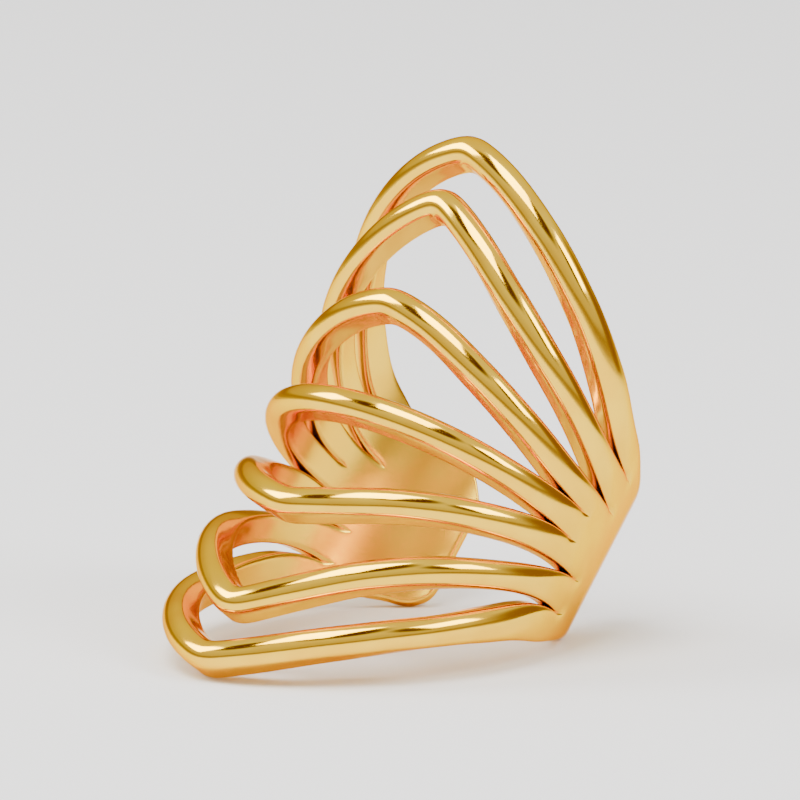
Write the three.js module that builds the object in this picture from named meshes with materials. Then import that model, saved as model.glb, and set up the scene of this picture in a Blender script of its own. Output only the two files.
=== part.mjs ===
// Fan ear cuff, cast in one piece: an open band with seven bars spread like a fan across its front.
//
// The cuff is a pierced band wrapped round a cylinder. A place on it is given by an angle round the
// cylinder's axis, 0 at the front and positive to the right, and by a rise along that axis above the
// middle bar. The cuff is alike left and right, and its bars are alike above and below the middle one.
// It is shaped with that axis upright, then leaned back and set down as it rests by itself: on the
// nose of its lowest bar and on the lower edges of its two side plates. Millimetres, +Z up, front
// towards -Y.

import * as THREE from "three";
import { mergeVertices } from "three/addons/utils/BufferGeometryUtils.js";

// Driving dimensions.
const BORE_RADIUS = 5.82; // inside of the band
const BAR_WIDTH = 1.14; // across a bar, along the band's surface
const DOME_HEIGHT = 0.5; // crown of a bar's outer face above its straight sides
const EDGE_ROUNDING = 0.16; // what is left of that crown at the plates and round the tabs
const NOSE_ROUNDING = 5; // degrees each side of the front over which a bar's point is rounded
const REST_LEAN = 38.5; // degrees that the axis leans back when the cuff lies on a table

// Thickness of the band, from its bore outwards, at angles round it.
const THICKNESS = [
  { angle: 0, value: 1.18 },
  { angle: 60, value: 1.18 },
  { angle: 85, value: 1.08 },
  { angle: 105, value: 0.9 },
  { angle: 130, value: 0.72 },
  { angle: 150, value: 0.62 },
];

// Rise of the middle of each bar above the middle bar, at angles from the front to the side plate.
const BAR_ANGLES = [0, 20, 40, 60, 80, 100, 120];
const UPPER_BARS = [
  { name: "outermost", rise: [10.93, 9.9, 8.52, 6.93, 5.33, 4.05, 3.6] },
  { name: "second", rise: [8.76, 7.34, 5.76, 4.35, 3.28, 2.55, 2.15] },
  { name: "third", rise: [4.36, 3.7, 2.81, 1.99, 1.38, 1.05, 0.95] },
];

// Where each slot between two bars ends in a point, from the outermost slot to the middle one.
const SLOT_ENDS = [
  { angle: 107.5, rise: 2.9, taper: 55 },
  { angle: 107.5, rise: 1.46, taper: 50 },
  { angle: 93, rise: 0.56, taper: 45 },
];

// Outline of the side plate and of the back tab that it turns into: the rise of its upper edge, and
// how far its lower edge, which runs in a little sooner, lies below the middle bar.
const PLATE_START = 80; // angle at which a bar's outer edge begins to follow the plate's outline
const PLATE_END = 116;
const PLATE_OUTLINE = [
  { angle: 80, above: 5.0, below: 5.5 },
  { angle: 105, above: 4.15, below: 4.3 },
  { angle: 116, above: 3.66, below: 3.68 },
  { angle: 126, above: 3.48, below: 3.2 },
  { angle: 134, above: 3.36, below: 2.9 },
  { angle: 141, above: 3.0, below: 2.72 },
  { angle: 145.5, above: 2.45, below: 2.42 },
  { angle: 148.2, above: 1.92, below: 2.02 },
  { angle: 149, above: 1.6, below: 1.7 },
];

// Angles of the sections through the band, closer together where its shape turns quickly.
const COLUMNS = [
  0, 3, 7, 12, 18, 25, 32, 39, 46, 53, 60, 67, 74, 80, 85, 89, 93, 97, 101, 104.5, 107.5,
  111, 116, 121, 126, 132, 137, 141, 143.5, 145.5, 147, 148.2, 149,
];
const CROWN_STEPS = 4; // flats across a bar's domed face
const BARS = 2 * UPPER_BARS.length + 1;
const GOLD = { color: 0xe3b34f, roughness: 0.16, metalness: 1 };

const radians = THREE.MathUtils.degToRad;

// Smooth curve through the values of a table at its angles, level where a step is level.
function follow(angles, values, angle) {
  const last = angles.length - 1;
  const at = Math.min(Math.max(angle, angles[0]), angles[last]);
  const k = Math.min(angles.findLastIndex((start) => start <= at), last - 1);
  const step = (i) => (values[i + 1] - values[i]) / (angles[i + 1] - angles[i]);
  const slope = (i) => {
    if (i === 0) return step(0);
    if (i === last) return step(last - 1);
    return (step(i - 1) + step(i)) / 2;
  };
  const span = angles[k + 1] - angles[k];
  const t = (at - angles[k]) / span;
  return (
    values[k] * (1 - 3 * t * t + 2 * t ** 3) +
    values[k + 1] * (3 * t * t - 2 * t ** 3) +
    span * (slope(k) * (t - 2 * t * t + t ** 3) + slope(k + 1) * (t ** 3 - t * t))
  );
}

function followTable(table, column, angle) {
  return follow(table.map((row) => row.angle), table.map((row) => row[column]), angle);
}

// Rise of a bar's middle line, with the point at the front rounded.
function barRise(bar, angle) {
  const side = Math.sign(UPPER_BARS.length - bar);
  if (side === 0) return 0;
  const { rise } = UPPER_BARS[side > 0 ? bar : BARS - 1 - bar];
  return side * follow(BAR_ANGLES, rise, Math.hypot(angle, NOSE_ROUNDING));
}

// Half a bar's height along the axis: a slanting bar is taller when cut across.
function barHalfHeight(bar, angle) {
  const arc = (BORE_RADIUS + followTable(THICKNESS, "value", 0) / 2) * radians(2);
  const slant = (barRise(bar, angle + 1) - barRise(bar, Math.max(angle - 1, 0))) / arc;
  return (BAR_WIDTH / 2) * Math.hypot(1, slant);
}

// Line between two bars, or outside the outermost one, that the edges beside it run into.
function seam(index, angle) {
  const upper = index <= UPPER_BARS.length;
  const side = upper ? 1 : -1;
  const column = upper ? "above" : "below";
  const outline = followTable(PLATE_OUTLINE, column, angle);
  if (index === 0 || index === BARS) return { rise: side * outline, start: PLATE_START, end: PLATE_END };
  const slot = SLOT_ENDS[upper ? index - 1 : BARS - 1 - index];
  const kept = Math.min(1, outline / followTable(PLATE_OUTLINE, column, slot.angle));
  return { rise: side * slot.rise * kept, start: slot.angle - slot.taper, end: slot.angle };
}

// Rise of a bar's upper edge (side +1) or lower edge (side -1): its own width away from its middle
// line at the front, and drawn onto the seam beside it ever faster as it nears the slot's end.
function edgeRise(bar, side, angle) {
  const line = seam(side > 0 ? bar : bar + 1, angle);
  const drawn = THREE.MathUtils.clamp((angle - line.start) / (line.end - line.start), 0, 1) ** 3;
  const own = barRise(bar, angle) + side * barHalfHeight(bar, angle);
  return own * (1 - drawn) + line.rise * drawn;
}

// How far a bar's outer face falls from its crown to its edge, fading out past the end of a slot.
function edgeFall(bar, side, angle) {
  const line = seam(side > 0 ? bar : bar + 1, angle);
  const toEnd = THREE.MathUtils.smoothstep(angle, line.end - 35, line.end);
  const fall = THREE.MathUtils.lerp(DOME_HEIGHT, EDGE_ROUNDING, toEnd);
  const outside = bar + (side > 0 ? 0 : 1);
  if (outside === 0 || outside === BARS) return fall;
  return fall * (1 - THREE.MathUtils.smoothstep(angle, line.end, line.end + 5));
}

// A point of the band from its angle, its rise and its distance from the axis.
function place(angle, rise, radius) {
  return new THREE.Vector3(radius * Math.sin(radians(angle)), -radius * Math.cos(radians(angle)), rise);
}

// Closed section of one bar at one angle: the domed face from its lower to its upper edge, then the
// two corners at the bore.
function barSection(bar, angle) {
  const turn = Math.abs(angle);
  const low = edgeRise(bar, -1, turn);
  const high = edgeRise(bar, 1, turn);
  const crown = BORE_RADIUS + followTable(THICKNESS, "value", turn);
  const points = [];
  for (let step = 0; step <= CROWN_STEPS; step += 1) {
    const across = -Math.cos((Math.PI * step) / CROWN_STEPS);
    const fall = edgeFall(bar, across > 0 ? 1 : -1, turn) * (1 - Math.sqrt(1 - across * across));
    points.push(place(angle, (low + high) / 2 + (across * (high - low)) / 2, crown - fall));
  }
  points.push(place(angle, high, BORE_RADIUS), place(angle, low, BORE_RADIUS));
  return points;
}

// Whether the gap beyond a bar's edge is open between two neighbouring sections.
function isOpen(bar, side, from, to) {
  const index = side > 0 ? bar : bar + 1;
  if (index === 0 || index === BARS) return true;
  return Math.max(Math.abs(from), Math.abs(to)) <= seam(index, 0).end;
}

// The whole cuff: each bar's skin from section to section, walls along its open edges, and the two
// flat ends of the tabs.
function cuffGeometry() {
  const mirrored = COLUMNS.slice(1).reverse().map((angle) => -angle);
  const angles = [...mirrored, ...COLUMNS];
  const corners = [];
  const quad = (a, b, c, d) => corners.push(a, b, c, a, c, d);
  const [crownEnd, highIn, lowIn] = [CROWN_STEPS, CROWN_STEPS + 1, CROWN_STEPS + 2];
  for (let bar = 0; bar < BARS; bar += 1) {
    const sections = angles.map((angle) => barSection(bar, angle));
    for (let k = 0; k + 1 < sections.length; k += 1) {
      const [here, next] = [sections[k], sections[k + 1]];
      const skin = (a, b) => quad(here[a], next[a], next[b], here[b]);
      for (let step = 0; step < CROWN_STEPS; step += 1) skin(step, step + 1);
      skin(highIn, lowIn);
      if (isOpen(bar, 1, angles[k], angles[k + 1])) skin(crownEnd, highIn);
      if (isOpen(bar, -1, angles[k], angles[k + 1])) skin(lowIn, 0);
    }
    for (const [section, start] of [[sections[0], true], [sections.at(-1), false]]) {
      for (let step = 0; step < CROWN_STEPS; step += 1) {
        const fan = [section[lowIn], section[step], section[step + 1]];
        corners.push(...(start ? fan : fan.reverse()));
      }
      const last = [section[lowIn], section[crownEnd], section[highIn]];
      corners.push(...(start ? last : last.reverse()));
    }
  }
  const loose = new THREE.BufferGeometry().setFromPoints(corners);
  return mergeVertices(loose, 1e-4);
}

// The cuff leaned back into its resting pose, its lowest point on the table.
function restingCuff() {
  const geometry = cuffGeometry();
  geometry.rotateX(-radians(REST_LEAN));
  geometry.computeBoundingBox();
  const { min, max } = geometry.boundingBox;
  geometry.translate(0, -(min.y + max.y) / 2, -min.z);
  geometry.computeVertexNormals();
  const cuff = new THREE.Mesh(geometry, new THREE.MeshStandardMaterial(GOLD));
  cuff.name = "cuff";
  return cuff;
}

const earCuff = new THREE.Group();
earCuff.add(restingCuff());

export default earCuff;
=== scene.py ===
"""Gold plated ear cuff: an open band whose front spreads into a fan of seven domed bars.

The cuff is a pierced band wrapped round a cylinder. Places on it are an angle round the cylinder's
axis, 0 at the front, and a rise along that axis above the middle bar. It lies on a table, leaned back
on the nose of its lowest bar and the lower edges of its side plates.
"""

import logging
import math
from dataclasses import dataclass
from enum import IntEnum
from typing import Any

import bpy
import numpy as np
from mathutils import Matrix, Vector


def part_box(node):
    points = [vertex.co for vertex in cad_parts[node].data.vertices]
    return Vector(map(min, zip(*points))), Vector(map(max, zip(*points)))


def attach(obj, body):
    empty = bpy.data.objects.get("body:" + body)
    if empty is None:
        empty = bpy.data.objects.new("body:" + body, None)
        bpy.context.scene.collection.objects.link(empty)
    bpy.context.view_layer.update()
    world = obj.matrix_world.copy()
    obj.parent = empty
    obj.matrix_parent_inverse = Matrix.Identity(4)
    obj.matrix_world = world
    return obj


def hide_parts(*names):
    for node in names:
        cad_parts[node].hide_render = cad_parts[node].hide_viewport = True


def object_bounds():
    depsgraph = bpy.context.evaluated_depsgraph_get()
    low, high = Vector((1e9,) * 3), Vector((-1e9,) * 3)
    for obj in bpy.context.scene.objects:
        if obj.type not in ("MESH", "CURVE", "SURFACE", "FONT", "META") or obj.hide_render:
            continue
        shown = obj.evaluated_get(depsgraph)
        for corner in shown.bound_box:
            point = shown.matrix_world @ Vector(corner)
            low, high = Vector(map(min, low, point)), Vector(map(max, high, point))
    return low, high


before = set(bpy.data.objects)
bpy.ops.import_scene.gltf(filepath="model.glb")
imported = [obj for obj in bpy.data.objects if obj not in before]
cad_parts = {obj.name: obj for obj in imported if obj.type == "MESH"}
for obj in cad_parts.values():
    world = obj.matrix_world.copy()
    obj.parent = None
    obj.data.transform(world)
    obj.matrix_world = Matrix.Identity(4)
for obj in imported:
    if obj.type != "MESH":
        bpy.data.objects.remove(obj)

MM = 0.001
CAD_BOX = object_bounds()
LOG = logging.getLogger("ear_cuff")
Patch = tuple[np.ndarray, np.ndarray, np.ndarray]
BAR_ANGLES = (0, 20, 40, 60, 80, 100, 120)
OUTLINE_ANGLES = (80, 105, 116, 126, 134, 141, 145.5, 148.2, 149)


class Side(IntEnum):
    """Which edge of a bar is meant: the one with the higher or the lower rise."""

    LOWER = -1
    UPPER = 1


def linear(code: str) -> tuple[float, float, float, float]:
    """Turn an sRGB hex colour into linear light.

    Args:
        code: six hex digits after a hash sign.

    Returns:
        Red, green, blue and an alpha of one.
    """
    parts = [int(code[i : i + 2], 16) / 255 for i in (1, 3, 5)]
    red, green, blue = ((c / 12.92) if c <= 0.04045 else ((c + 0.055) / 1.055) ** 2.4 for c in parts)
    return red, green, blue, 1.0


def add_node(
    tree: bpy.types.NodeTree, kind: str, sets: dict[Any, Any], links: dict[Any, Any]
) -> bpy.types.Node:
    """Add one node to a tree.

    Args:
        tree: the node tree.
        kind: the node's type.
        sets: values for its sockets by name or number, or for its own settings by name.
        links: output sockets to join to its input sockets, by name or number.

    Returns:
        The new node.
    """
    made = tree.nodes.new(kind)
    for name, value in sets.items():
        if isinstance(name, int) or name in made.inputs:
            made.inputs[name].default_value = value
        else:
            setattr(made, name, value)
    for name, socket in links.items():
        tree.links.new(socket, made.inputs[name])
    return made


def ramp(tree: bpy.types.NodeTree, stops: list[tuple[float, str]], factor: Any) -> bpy.types.Node:
    """Add a colour ramp.

    Args:
        tree: the node tree.
        stops: positions from 0 to 1 with their hex colours.
        factor: the output socket that drives it.

    Returns:
        The ramp's node.
    """
    made = add_node(tree, "ShaderNodeValToRGB", {}, {"Fac": factor})
    band = made.color_ramp
    band.interpolation = "EASE"
    while len(band.elements) < len(stops):
        band.elements.new(0.5)
    for element, (place, code) in zip(band.elements, stops):
        element.position = place
        element.color = linear(code)
    return made


@dataclass(frozen=True)
class Course:
    """A value that changes smoothly with the angle round the cuff."""

    angles: tuple[float, ...]
    values: tuple[float, ...]

    def at(self, angle: np.ndarray) -> np.ndarray:
        """Cubic through the values whose slope at each is the mean of the steps beside it.

        Args:
            angle: degrees from the front.

        Returns:
            The value at each angle, held level beyond the two ends.
        """
        x, y = np.array(self.angles), np.array(self.values)
        step = np.diff(y) / np.diff(x)
        slope = np.concatenate((step[:1], (step[:-1] + step[1:]) / 2, step[-1:]))
        at = np.clip(angle, x[0], x[-1])
        k = np.clip(np.searchsorted(x, at, side="right") - 1, 0, len(x) - 2)
        span = x[k + 1] - x[k]
        t = (at - x[k]) / span
        return (
            y[k] * (1 - 3 * t**2 + 2 * t**3)
            + y[k + 1] * (3 * t**2 - 2 * t**3)
            + span * (slope[k] * (t - 2 * t**2 + t**3) + slope[k + 1] * (t**3 - t**2))
        )


def ease(value: np.ndarray, start: float, end: float, order: int = 1) -> np.ndarray:
    """Go from 0 at the start to 1 at the end without a corner at either.

    Args:
        value: where to look.
        start: the last place that gives 0.
        end: the first place that gives 1.
        order: 1 for a level start and end, 2 for one that also has no bend there.

    Returns:
        The share between 0 and 1.
    """
    t = np.clip((value - start) / (end - start), 0, 1)
    if order == 1:
        return t * t * (3 - 2 * t)
    return t**3 * (t * (6 * t - 15) + 10)


def quarter_ellipse(share: np.ndarray) -> np.ndarray:
    """How far a quarter ellipse of height one has fallen: one less the root of one less share squared.

    Args:
        share: the distance out from its crown, where 1 is its edge. Beyond 0 and 1 it holds level.

    Returns:
        The fall between 0 and 1.
    """
    return 1 - np.sqrt(1 - np.clip(share, 0, 1) ** 2)


@dataclass(frozen=True)
class Slot:
    """The pointed end of a gap between two bars: its angle, its rise and the length of its taper."""

    angle: float
    rise: float
    taper: float


@dataclass(frozen=True)
class Seam:
    """The line between two bars: its rise and the angles over which the bars' edges run into it."""

    rise: np.ndarray
    start: float
    end: float
    outer: bool


@dataclass(frozen=True)
class Span:
    """A run of sections: the angle it starts at, the angle it stops short of and how many it has."""

    low: float
    high: float
    steps: int


@dataclass
class Cuff:
    """The one-piece cast cuff: seven bars, two side plates and two back tabs.

    Sizes are in millimetres and angles in degrees. Only the bars and slots above the middle bar are
    listed, from the top down, and the ones below are their mirror images.
    """

    bore_radius: float = 5.82
    bar_width: float = 1.14
    dome_height: float = 0.5
    edge_rounding: float = 0.16
    bore_rounding: float = 0.1
    bore_flat_share: float = 0.7
    nose_rounding: float = 5.0
    rest_lean: float = 38.5
    plate_start: float = 80.0
    plate_end: float = 116.0
    tab_end: float = 149.0
    end_rounding: float = 1.8
    dome_fade: float = 35.0
    slot_fade: float = 5.0
    rows: int = 15
    wall_rows: int = 3
    thickness: Course = Course((0, 60, 85, 105, 130, 150), (1.18, 1.18, 1.08, 0.9, 0.72, 0.62))
    bars: tuple[Course, ...] = (
        Course(BAR_ANGLES, (10.93, 9.9, 8.52, 6.93, 5.33, 4.05, 3.6)),
        Course(BAR_ANGLES, (8.76, 7.34, 5.76, 4.35, 3.28, 2.55, 2.15)),
        Course(BAR_ANGLES, (4.36, 3.7, 2.81, 1.99, 1.38, 1.05, 0.95)),
    )
    slots: tuple[Slot, ...] = (Slot(107.5, 2.9, 55), Slot(107.5, 1.46, 50), Slot(93, 0.56, 45))
    above: Course = Course(OUTLINE_ANGLES, (5.0, 4.15, 3.66, 3.48, 3.36, 3.0, 2.45, 1.92, 1.6))
    below: Course = Course(OUTLINE_ANGLES, (5.5, 4.3, 3.68, 3.2, 2.9, 2.72, 2.42, 2.02, 1.7))
    spans: tuple[Span, ...] = (
        Span(0, 8, 8),
        Span(8, 88, 60),
        Span(88, 93, 8),
        Span(93, 102.5, 11),
        Span(102.5, 107.5, 10),
        Span(107.5, 114, 12),
        Span(114, 144, 24),
    )
    end_sections: int = 14

    @property
    def count(self) -> int:
        """The number of bars: the upper ones, their mirror images and the middle one."""
        return 2 * len(self.bars) + 1

    def sections(self) -> np.ndarray:
        """Angles of the sections, closer where the slots end and where the tabs' ends are rounded.

        Returns:
            Angles from the left tab's end to the right one's, in degrees.
        """
        runs = [np.linspace(span.low, span.high, span.steps, endpoint=False) for span in self.spans]
        start = self.spans[-1].high
        quarter = np.linspace(0, math.pi / 2, self.end_sections)
        runs.append(start + (self.tab_end - start) * np.sin(quarter))
        half = np.concatenate(runs)
        return np.concatenate((-half[:0:-1], half))

    def bar_rise(self, bar: int, turn: np.ndarray) -> np.ndarray:
        """Rise of a bar's middle line, its point at the front rounded as a hyperbola's is.

        Args:
            bar: the bar, from 0 at the top.
            turn: degrees from the front.

        Returns:
            Its rise in millimetres.
        """
        side = np.sign(len(self.bars) - bar)
        if side == 0:
            return np.zeros_like(turn)
        course = self.bars[bar if side > 0 else self.count - 1 - bar]
        return side * course.at(np.hypot(turn, self.nose_rounding))

    def half_height(self, bar: int, turn: np.ndarray) -> np.ndarray:
        """Half a bar's height along the axis: half its width times the secant of its slant.

        Args:
            bar: the bar, from 0 at the top.
            turn: degrees from the front.

        Returns:
            Half its height in millimetres.
        """
        arc = (self.bore_radius + self.thickness.at(np.array(0.0)) / 2) * math.radians(2)
        slant = (self.bar_rise(bar, turn + 1) - self.bar_rise(bar, np.maximum(turn - 1, 0))) / arc
        return self.bar_width / 2 * np.hypot(1, slant)

    def seam(self, index: int, turn: np.ndarray) -> Seam:
        """The line above bar number index, which is the band's outline outside the outermost bars.

        Args:
            index: 0 for the upper outline, then one for each slot, and last the lower outline.
            turn: degrees from the front.

        Returns:
            The seam.
        """
        side = 1 if index <= len(self.bars) else -1
        outline = self.above if side > 0 else self.below
        if index in (0, self.count):
            return Seam(side * outline.at(turn), self.plate_start, self.plate_end, True)
        slot = self.slots[index - 1 if side > 0 else self.count - 1 - index]
        kept = np.minimum(1, outline.at(turn) / outline.at(np.array(slot.angle)))
        return Seam(side * slot.rise * kept, slot.angle - slot.taper, slot.angle, False)

    def seam_at(self, bar: int, side: Side, turn: np.ndarray) -> Seam:
        """The seam beside one edge of a bar.

        Args:
            bar: the bar, from 0 at the top.
            side: which edge.
            turn: degrees from the front.

        Returns:
            The seam.
        """
        return self.seam(bar if side > 0 else bar + 1, turn)

    def edge_rise(self, bar: int, side: Side, turn: np.ndarray) -> np.ndarray:
        """Rise of one edge of a bar: half a height from its middle, then drawn onto the seam beside it.

        Args:
            bar: the bar, from 0 at the top.
            side: which edge.
            turn: degrees from the front.

        Returns:
            Its rise in millimetres.
        """
        line = self.seam_at(bar, side, turn)
        own = self.bar_rise(bar, turn) + side * self.half_height(bar, turn)
        near = np.clip((turn - line.start) / (line.end - line.start), 0, 1) ** 3
        drawn = ease(turn, line.start, line.end, 2) if line.outer else near
        return own * (1 - drawn) + line.rise * drawn

    def edge_falls(self, bar: int, side: Side, turn: np.ndarray) -> tuple[np.ndarray, np.ndarray]:
        """How far the two faces round off towards one edge, fading out past the end of a slot.

        Args:
            bar: the bar, from 0 at the top.
            side: which edge.
            turn: degrees from the front.

        Returns:
            The fall of the outer face and the rise of the bore's face at the edge, in millimetres.
        """
        line = self.seam_at(bar, side, turn)
        faded = ease(turn, line.end - self.dome_fade, line.end)
        outer = self.dome_height + (self.edge_rounding - self.dome_height) * faded
        kept = 1.0 if line.outer else 1 - ease(turn, line.end, line.end + self.slot_fade)
        return outer * kept, self.bore_rounding * kept * np.ones_like(turn)

    def faces_of(self, bar: int, angles: np.ndarray) -> tuple[np.ndarray, np.ndarray]:
        """Points of a bar's outer face and of its face at the bore, on one grid.

        Across the bar the outer face is half an ellipse and the bore's face is level with a quarter
        ellipse at each edge; towards the tab's end both round off over the last degrees.

        Args:
            bar: the bar, from 0 at the top.
            angles: the sections' angles in degrees.

        Returns:
            Two arrays of sections by rows by three, in millimetres, rows from lower to upper edge.
        """
        turn = np.abs(angles)
        low, high = self.edge_rise(bar, Side.LOWER, turn), self.edge_rise(bar, Side.UPPER, turn)
        across = -np.cos(np.linspace(0, math.pi, self.rows))
        rise = ((low + high)[:, None] + (high - low)[:, None] * across) / 2
        falls = {side: self.edge_falls(bar, side, turn) for side in Side}
        outer_fall = np.where(across > 0, falls[Side.UPPER][0][:, None], falls[Side.LOWER][0][:, None])
        bore_fall = np.where(across > 0, falls[Side.UPPER][1][:, None], falls[Side.LOWER][1][:, None])
        dome = quarter_ellipse(np.abs(across))
        corner = quarter_ellipse((np.abs(across) - self.bore_flat_share) / (1 - self.bore_flat_share))
        last = quarter_ellipse((turn - self.tab_end + self.end_rounding) / self.end_rounding)[:, None]
        crown = (self.bore_radius + self.thickness.at(turn))[:, None]
        outer = crown - outer_fall * dome - self.edge_rounding * last
        bore = self.bore_radius + bore_fall * corner + self.bore_rounding * last
        around = np.radians(angles)[:, None]
        return tuple(
            np.stack((radius * np.sin(around), -radius * np.cos(around), rise), axis=-1)
            for radius in (outer, bore)
        )

    def build(self) -> bpy.types.Object:
        """Make the cuff's mesh: every bar's skin, the walls at open edges and the two tab ends.

        Returns:
            The new object, at the origin, with its place in its mesh.
        """
        angles = self.sections()
        points, quads, inside = [], [], []
        start = 0
        for bar in range(self.count):
            outer, bore = self.faces_of(bar, angles)
            patches = (
                self.skin(bar, angles, outer, bore),
                self.tab_cap(outer[0], bore[0], False),
                self.tab_cap(outer[-1], bore[-1], True),
            )
            for places, cells, at_bore in patches:
                points.append(places)
                quads.append(start + cells)
                inside.append(at_bore)
                start += len(places)
        return self.welded(np.concatenate(points), np.concatenate(quads), np.concatenate(inside))

    def skin(self, bar: int, angles: np.ndarray, outer: np.ndarray, bore: np.ndarray) -> Patch:
        """Skin of a bar from section to section, with a wall only where its edge is open.

        Args:
            bar: the bar, from 0 at the top.
            angles: the sections' angles in degrees.
            outer: points of the outer face.
            bore: points of the face at the bore.

        Returns:
            The points, the quads and each point's place on the bore's face.
        """
        rows, walls = self.rows, self.wall_rows
        share = (np.arange(1, walls + 1) / (walls + 1))[:, None]
        upper = outer[:, -1:] + (bore[:, -1:] - outer[:, -1:]) * share
        lower = bore[:, :1] + (outer[:, :1] - bore[:, :1]) * share
        ring = np.concatenate((outer, upper, bore[:, ::-1], lower), axis=1)
        at_bore = np.tile(np.repeat((0.0, 0.0, 1.0, 0.0), (rows, walls, rows, walls)), len(angles))
        index = np.arange(ring.shape[0] * ring.shape[1]).reshape(ring.shape[:2])
        after = np.roll(index, -1, axis=1)
        cells = np.stack((index[:-1], index[1:], after[1:], after[:-1]), axis=-1)
        keep = np.ones(cells.shape[:2], bool)
        middle = (np.abs(angles[:-1]) + np.abs(angles[1:])) / 2
        for side, first in ((Side.UPPER, rows - 1), (Side.LOWER, 2 * rows + walls - 1)):
            line = self.seam_at(bar, side, middle)
            keep[:, first : first + walls + 1] = (line.outer | (middle < line.end))[:, None]
        return ring.reshape(-1, 3), cells[keep], at_bore

    def tab_cap(self, outer: np.ndarray, bore: np.ndarray, flip: bool) -> Patch:
        """A bar's share of the flat end of a tab.

        Args:
            outer: points of the outer face at the last section.
            bore: points of the face at the bore there.
            flip: whether the quads run the other way, as they do at the right tab.

        Returns:
            The points, the quads and each point's place on the bore's face.
        """
        across = np.linspace(0, 1, self.wall_rows + 2)[None, :, None]
        cap = outer[:, None] * (1 - across) + bore[:, None] * across
        index = np.arange(cap.shape[0] * cap.shape[1]).reshape(cap.shape[:2])
        cells = np.stack((index[:-1, :-1], index[:-1, 1:], index[1:, 1:], index[1:, :-1]), axis=-1)
        cells = cells if flip else cells[..., ::-1]
        return cap.reshape(-1, 3), cells.reshape(-1, 4), np.zeros(index.size)

    def welded(self, points: np.ndarray, quads: np.ndarray, inside: np.ndarray) -> bpy.types.Object:
        """Join coinciding points, lean the cuff back, set it on the table and make its object.

        Args:
            points: places in the cuff's upright frame, in millimetres.
            quads: four point numbers for each face.
            inside: for each point, 1 on the bore's face and 0 elsewhere.

        Returns:
            The new object.
        """
        _, first, number = np.unique(np.round(points, 6), axis=0, return_index=True, return_inverse=True)
        number = number.reshape(-1)
        lean = math.radians(self.rest_lean)
        x, y, z = points[first].T * MM
        placed = np.stack(
            (x, y * math.cos(lean) + z * math.sin(lean), z * math.cos(lean) - y * math.sin(lean)), axis=1
        )
        low, high = (np.array(corner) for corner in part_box("cuff"))
        own_low, own_high = placed.min(axis=0), placed.max(axis=0)
        placed[:, 1] += (low[1] + high[1] - own_low[1] - own_high[1]) / 2
        placed[:, 2] += low[2] - own_low[2]
        mesh = bpy.data.meshes.new("fan_ear_cuff")
        mesh.from_pydata(placed, [], number[quads].tolist())
        mesh.attributes.new("bore_side", "FLOAT", "POINT").data.foreach_set("value", inside[first])
        mesh.polygons.foreach_set("use_smooth", np.ones(len(mesh.polygons), bool))
        mesh.update()
        made = bpy.data.objects.new("fan_ear_cuff", mesh)
        bpy.context.scene.collection.objects.link(made)
        return made

    def dress(self, piece: bpy.types.Object, finish: "GoldPlate") -> None:
        """Give the cuff its plating and its place on the frame.

        Args:
            piece: the cuff's object.
            finish: the plating.
        """
        piece.data.materials.append(finish.build())
        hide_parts("cuff")
        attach(piece, "root")


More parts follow.
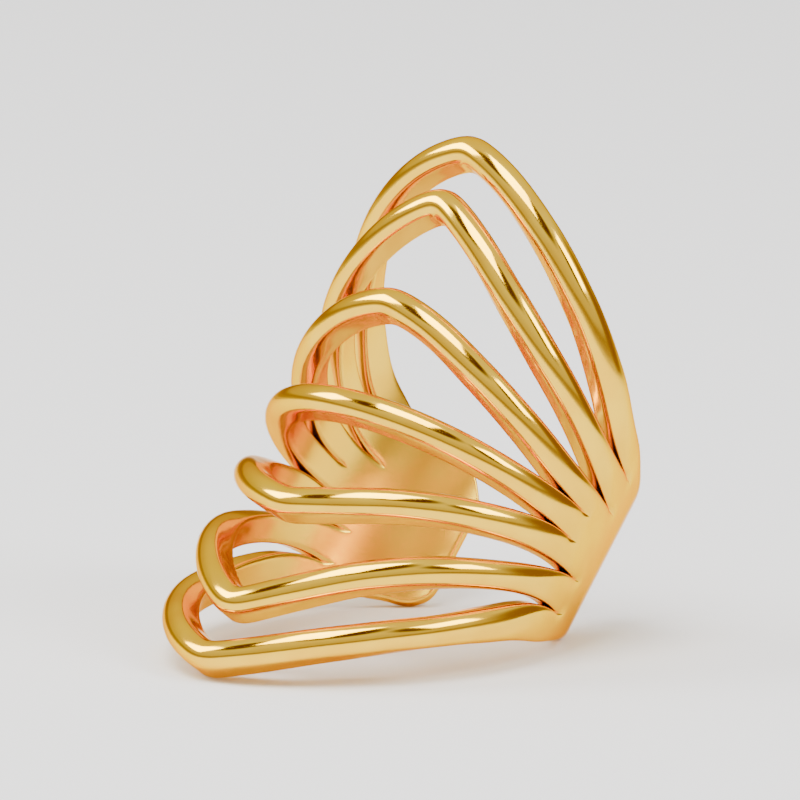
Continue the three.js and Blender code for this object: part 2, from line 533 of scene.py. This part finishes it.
@dataclass(frozen=True)
class GoldPlate:
    """Yellow gold plated on cast brass, tumbled and then buffed.

    The eye sees a clear mirror that is yellow where it reflects white, and deep orange where gold
    reflects gold. The buffing leaves faint waves and hairlines, and the bore is a little duller.
    """

    colour: str = "#FFCE34"
    thin_colour: str = "#FBC52B"
    edge_tint: str = "#EDBE55"
    roughness: float = 0.085
    bore_roughness: float = 0.2
    uneven_roughness: float = 0.05
    wave_mm: float = 1.6
    wave_strength: float = 0.05
    wave_height_mm: float = 0.05
    hairline_mm: float = 0.12
    hairline_stretch: float = 0.25
    hairline_strength: float = 0.03
    hairline_height_mm: float = 0.004

    def build(self) -> bpy.types.Material:
        """Make the plating's material.

        Returns:
            The material.
        """
        material = bpy.data.materials.new("buffed_gold_plate")
        material.use_nodes = True
        tree = material.node_tree
        tree.nodes.clear()
        coords = add_node(tree, "ShaderNodeTexCoord", {}, {}).outputs["Object"]
        waves = add_node(
            tree,
            "ShaderNodeTexNoise",
            {"Scale": 1 / (self.wave_mm * MM), "Detail": 2.0},
            {"Vector": coords},
        )
        scale = (self.hairline_stretch, 1.0, 1.0)
        stretched = add_node(tree, "ShaderNodeMapping", {"Scale": scale}, {"Vector": coords})
        hairs = add_node(
            tree,
            "ShaderNodeTexNoise",
            {"Scale": 1 / (self.hairline_mm * MM), "Detail": 4.0, "Roughness": 0.6},
            {"Vector": stretched.outputs["Vector"]},
        )
        tint = ramp(tree, [(0.35, self.thin_colour), (0.65, self.colour)], waves.outputs["Fac"])
        bore = add_node(tree, "ShaderNodeAttribute", {"attribute_name": "bore_side"}, {})
        gloss = add_node(
            tree,
            "ShaderNodeMapRange",
            {"To Min": self.roughness, "To Max": self.bore_roughness},
            {"Value": bore.outputs["Fac"]},
        )
        uneven = add_node(
            tree,
            "ShaderNodeMath",
            {"operation": "MULTIPLY_ADD", 1: self.uneven_roughness},
            {0: hairs.outputs["Fac"], 2: gloss.outputs["Result"]},
        )
        soft = add_node(
            tree,
            "ShaderNodeBump",
            {"Strength": self.wave_strength, "Distance": self.wave_height_mm * MM},
            {"Height": waves.outputs["Fac"]},
        )
        fine = add_node(
            tree,
            "ShaderNodeBump",
            {"Strength": self.hairline_strength, "Distance": self.hairline_height_mm * MM},
            {"Height": hairs.outputs["Fac"], "Normal": soft.outputs["Normal"]},
        )
        shader = add_node(
            tree,
            "ShaderNodeBsdfPrincipled",
            {"Metallic": 1.0, "Specular Tint": linear(self.edge_tint)},
            {
                "Base Color": tint.outputs["Color"],
                "Roughness": uneven.outputs["Value"],
                "Normal": fine.outputs["Normal"],
            },
        )
        add_node(tree, "ShaderNodeOutputMaterial", {}, {"Surface": shader.outputs["BSDF"]})
        return material


@dataclass(frozen=True)
class Lamp:
    """A square soft light aimed at the cuff. Angles in degrees, distance and size in metres."""

    name: str
    azimuth: float
    elevation: float
    distance: float
    size: float
    power: float

    def build(self, target: Vector) -> None:
        """Add the light.

        Args:
            target: the point that it faces.
        """
        light = bpy.data.lights.new(self.name, "AREA")
        light.size = self.size
        light.energy = self.power
        made = bpy.data.objects.new(self.name, light)
        bpy.context.scene.collection.objects.link(made)
        made.location = target + direction(self.azimuth, self.elevation) * self.distance
        made.rotation_euler = (target - made.location).to_track_quat("-Z", "Y").to_euler()
        made.visible_camera = False


def direction(azimuth: float, elevation: float) -> Vector:
    """Unit vector from the cuff towards a place round it.

    Args:
        azimuth: degrees to the right of straight in front.
        elevation: degrees above the table.

    Returns:
        The vector.
    """
    a, e = math.radians(azimuth), math.radians(elevation)
    return Vector((math.sin(a) * math.cos(e), -math.cos(a) * math.cos(e), math.sin(e)))


@dataclass(frozen=True)
class Gap:
    """A round dark gap in the light tent, full inside its inner angle and gone at its outer one.

    Angles are in degrees.
    """

    azimuth: float
    elevation: float
    inner: float
    outer: float
    tone: str

    def darken(self, tree: bpy.types.NodeTree, coords: Any, colour: Any) -> Any:
        """Darken the tent round this gap's direction, from its outer to its inner angle.

        Args:
            tree: the world's node tree.
            coords: the socket with the direction looked in.
            colour: the socket with the tent's colour so far.

        Returns:
            The socket with the darkened colour.
        """
        toward = tuple(direction(self.azimuth, self.elevation))
        near = add_node(tree, "ShaderNodeVectorMath", {"operation": "DOT_PRODUCT", 1: toward}, {0: coords})
        edges = {
            "From Min": math.cos(math.radians(self.outer)),
            "From Max": math.cos(math.radians(self.inner)),
            "interpolation_type": "SMOOTHSTEP",
        }
        share = add_node(tree, "ShaderNodeMapRange", edges, {"Value": near.outputs["Value"]})
        mixed = add_node(
            tree,
            "ShaderNodeMixRGB",
            {"Color2": linear(self.tone)},
            {"Fac": share.outputs["Result"], "Color1": colour},
        )
        return mixed.outputs["Color"]


@dataclass
class Studio:
    """Pale table, soft surroundings, lights and camera."""

    azimuth: float = 45.3
    elevation: float = 11.3
    distance: float = 0.57
    view_width: float = 0.029
    shift_right: float = 0.0009
    sensor_mm: float = 36.0
    near: float = 0.01
    far: float = 20.0
    floor_size: float = 3.0
    floor_colour: str = "#F7F7F7"
    floor_roughness: float = 0.9
    seen_strength: float = 1.6
    tent_strength: float = 1.2
    tent_tones: tuple[tuple[float, str], ...] = (
        (0.0, "#E8E8E8"),
        (0.5, "#F0F0F0"),
        (0.53, "#B8A890"),
        (0.575, "#A08C70"),
        (0.63, "#D8D4CC"),
        (0.85, "#F4F4F4"),
    )
    gaps: tuple[Gap, ...] = (
        Gap(48, 60, 12, 22, "#4A1C06"),
        Gap(-30, 52, 8, 18, "#4A1C06"),
        Gap(95, 38, 8, 17, "#4A1C06"),
        Gap(150, 15, 10, 30, "#8A6A3C"),
    )
    lamps: tuple[Lamp, ...] = (
        Lamp("overhead_light", 10, 72, 0.35, 0.22, 1.6),
        Lamp("left_light", -60, 35, 0.35, 0.14, 0.7),
        Lamp("right_light", 110, 40, 0.35, 0.14, 0.6),
    )

    def add_camera(self, target: Vector) -> None:
        """Add the camera and make it the scene's.

        Args:
            target: the middle of the cuff's box. The camera aims a little to the right of it.
        """
        data = bpy.data.cameras.new("camera")
        data.sensor_width = self.sensor_mm
        data.lens = data.sensor_width * self.distance / self.view_width
        data.clip_start, data.clip_end = self.near, self.far
        made = bpy.data.objects.new("camera", data)
        bpy.context.scene.collection.objects.link(made)
        aim = target + direction(self.azimuth + 90, 0) * self.shift_right
        made.location = aim + direction(self.azimuth, self.elevation) * self.distance
        made.rotation_euler = (aim - made.location).to_track_quat("-Z", "Y").to_euler()
        bpy.context.scene.camera = made

    def add_floor(self) -> None:
        """Add the pale matt table top."""
        half = self.floor_size / 2
        corners = [(-half, -half, 0), (half, -half, 0), (half, half, 0), (-half, half, 0)]
        mesh = bpy.data.meshes.new("floor")
        mesh.from_pydata(corners, [], [(0, 1, 2, 3)])
        made = bpy.data.objects.new("floor", mesh)
        bpy.context.scene.collection.objects.link(made)
        paper = bpy.data.materials.new("matt_white_board")
        paper.use_nodes = True
        shader = paper.node_tree.nodes["Principled BSDF"]
        shader.inputs["Base Color"].default_value = linear(self.floor_colour)
        shader.inputs["Roughness"].default_value = self.floor_roughness
        mesh.materials.append(paper)

    def add_surroundings(self) -> None:
        """Add the light tent: pale with dark gaps, warmer near the table, plain white where seen."""
        world = bpy.data.worlds.new("light_tent")
        bpy.context.scene.world = world
        world.use_nodes = True
        tree = world.node_tree
        tree.nodes.clear()
        coords = add_node(tree, "ShaderNodeTexCoord", {}, {}).outputs["Generated"]
        height = add_node(tree, "ShaderNodeSeparateXYZ", {}, {"Vector": coords})
        scaled = add_node(
            tree, "ShaderNodeMapRange", {"From Min": -1.0, "From Max": 1.0}, {"Value": height.outputs["Z"]}
        )
        shown = ramp(tree, list(self.tent_tones), scaled.outputs["Result"]).outputs["Color"]
        for gap in self.gaps:
            shown = gap.darken(tree, coords, shown)
        lit = add_node(tree, "ShaderNodeBackground", {"Strength": self.tent_strength}, {"Color": shown})
        plain = add_node(
            tree, "ShaderNodeBackground", {"Color": linear("#FFFFFF"), "Strength": self.seen_strength}, {}
        )
        path = add_node(tree, "ShaderNodeLightPath", {}, {})
        sides = {1: lit.outputs["Background"], 2: plain.outputs["Background"]}
        mixed = add_node(tree, "ShaderNodeMixShader", {}, {0: path.outputs["Is Camera Ray"], **sides})
        add_node(tree, "ShaderNodeOutputWorld", {}, {"Surface": mixed.outputs["Shader"]})

    def build(self) -> None:
        """Set everything round the middle of the cuff's box."""
        low, high = CAD_BOX
        target = (Vector(low) + Vector(high)) / 2
        self.add_camera(target)
        self.add_floor()
        self.add_surroundings()
        for lamp in self.lamps:
            lamp.build(target)


def main() -> None:
    """Build the cuff and its studio."""
    logging.basicConfig(level=logging.INFO)
    Studio().build()
    LOG.info("studio: table, surroundings, lights and camera")
    cuff = Cuff()
    piece = cuff.build()
    cuff.dress(piece, GoldPlate())
    LOG.info("cuff: %d faces", len(piece.data.polygons))


if __name__ == "__main__":
    main()
